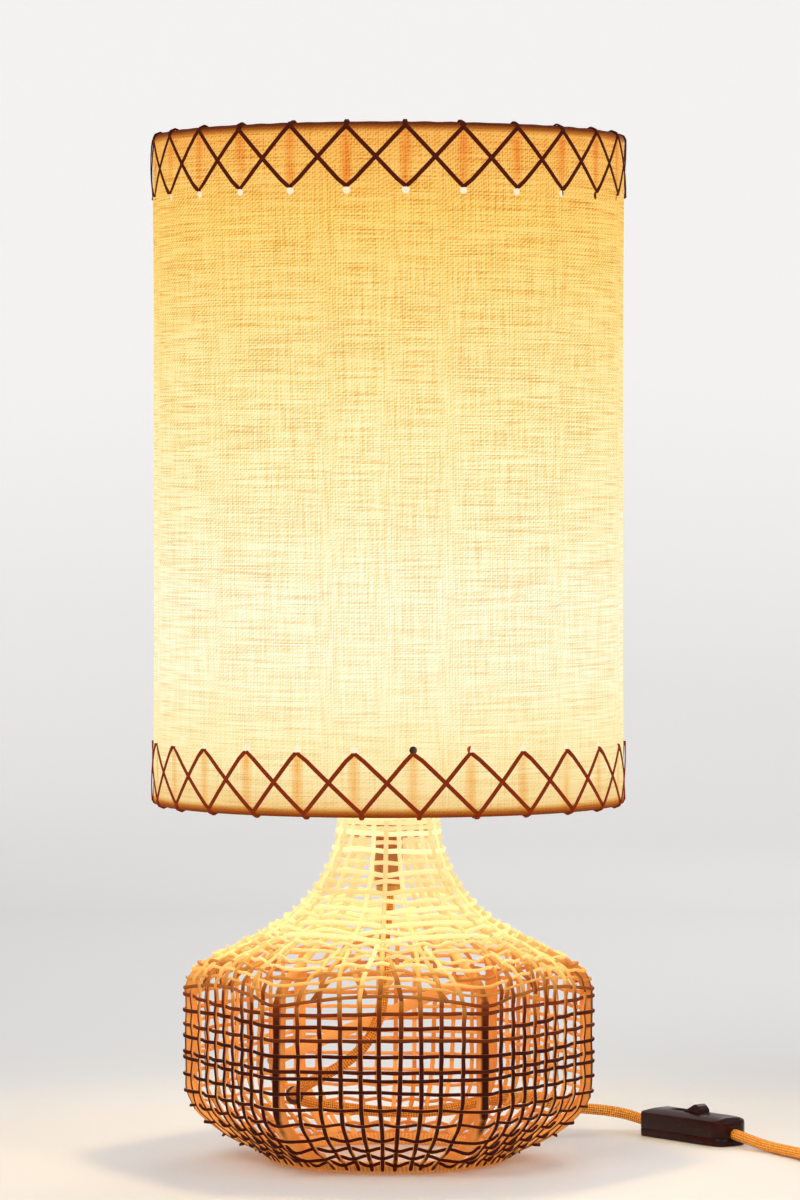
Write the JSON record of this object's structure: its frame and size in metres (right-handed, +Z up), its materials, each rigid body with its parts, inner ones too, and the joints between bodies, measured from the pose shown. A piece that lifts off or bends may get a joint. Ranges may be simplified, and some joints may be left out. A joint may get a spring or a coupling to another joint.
{
  "type": "table lamp",
  "caption": "Table lamp with a woven rattan basket base, a laced linen drum shade, a screw-in bulb fitting and a braided lead with an inline rocker switch.",
  "frame": {"origin": "centre of the foot ring on the table", "axes": "+Z up along the stem, -Y towards the viewer, +X to the side where the lead leaves"},
  "size_m": [0.5547, 0.3226, 0.6923],
  "materials": {
    "rattan_light": "satin",
    "rattan_pale": "satin",
    "rattan_brown": "satin",
    "turned_wood": "satin",
    "brass": "satin",
    "zinc_steel": "satin",
    "bakelite": "gloss",
    "porcelain": "matte",
    "bulb_glass": "gloss",
    "bulb_metal": "satin",
    "black_glass": "gloss",
    "filament": "emissive",
    "linen": "matte",
    "hem_tape": "matte",
    "lace_thong": "satin",
    "braided_lead": "matte",
    "tie": "matte",
    "grip_rubber": "matte"
  },
  "bodies": {
    "base": {"frame_poles": "rattan_light", "foot_ring": "rattan_light", "neck_strands": "rattan_pale", "shoulder_strands": "rattan_pale", "wall_strands": "rattan_brown", "under_strands": "rattan_brown", "neck_stakes": "rattan_pale", "shoulder_stakes": "rattan_pale", "wall_stakes": "rattan_brown", "foot_spokes": "rattan_brown", "cross_brace": "rattan_light", "neck_plate": "turned_wood", "stem_sleeve": "turned_wood", "stem_tube": "brass", "nut_low": "brass", "nut_high": "brass", "holder_cap": "bakelite", "holder_body": "bakelite", "contact_block": "porcelain", "screw_shell": "brass", "centre_contact": "brass", "holder_terminals": "brass", "inner_lead": "braided_lead", "lead_grip": "grip_rubber", "lead_to_switch": "braided_lead", "switch_cover": "bakelite", "switch_case": "bakelite", "switch_yoke": "zinc_steel", "switch_terminals": "brass", "switch_spring": "brass", "switch_clamps": "zinc_steel", "switch_screws": "zinc_steel", "lead_to_coil": "braided_lead", "lead_coil": "braided_lead", "coil_ties": "tie", "lead_to_plug": "braided_lead", "plug_shell_low": "bakelite", "plug_shell_high": "bakelite", "plug_pins": "zinc_steel", "plug_screw": "zinc_steel"},
    "shade": {"shade_linen": "linen", "hem_top": "hem_tape", "hem_bottom": "hem_tape", "wire_top": "zinc_steel", "wire_bottom": "zinc_steel", "spider_arms": "zinc_steel", "lace_top_a": "lace_thong", "lace_top_b": "lace_thong", "lace_low_a": "lace_thong", "lace_low_b": "lace_thong"},
    "ring_nut": {"shade_ring_nut": "bakelite"},
    "bulb": {"bulb_contact": "brass", "bulb_insulator": "black_glass", "bulb_cap": "bulb_metal", "bulb_glass": "bulb_glass", "bulb_stem": "bulb_glass", "bulb_filament": "filament"},
    "rocker": {"switch_rocker": "bakelite"}
  },
  "joints": [
    {"name": "shade_swivel", "type": "hinge", "parent": "base", "child": "shade", "pos_m": [0, 0, 0.26], "axis": [0, 0, 1], "continuous": true},
    {"name": "ring_nut_turn", "type": "hinge", "parent": "base", "child": "ring_nut", "pos_m": [0, 0, 0.265], "axis": [0, 0, 1], "continuous": true},
    {"name": "bulb_turn", "type": "hinge", "parent": "base", "child": "bulb", "pos_m": [0, 0, 0.275], "axis": [0, 0, 1], "continuous": true},
    {"name": "rocker_tilt", "type": "hinge", "parent": "base", "child": "rocker", "pos_m": [0.2123, 0.0961, 0.011], "axis": [0.788, 0.6157, 0], "range_deg": [0, 16]}
  ]
}
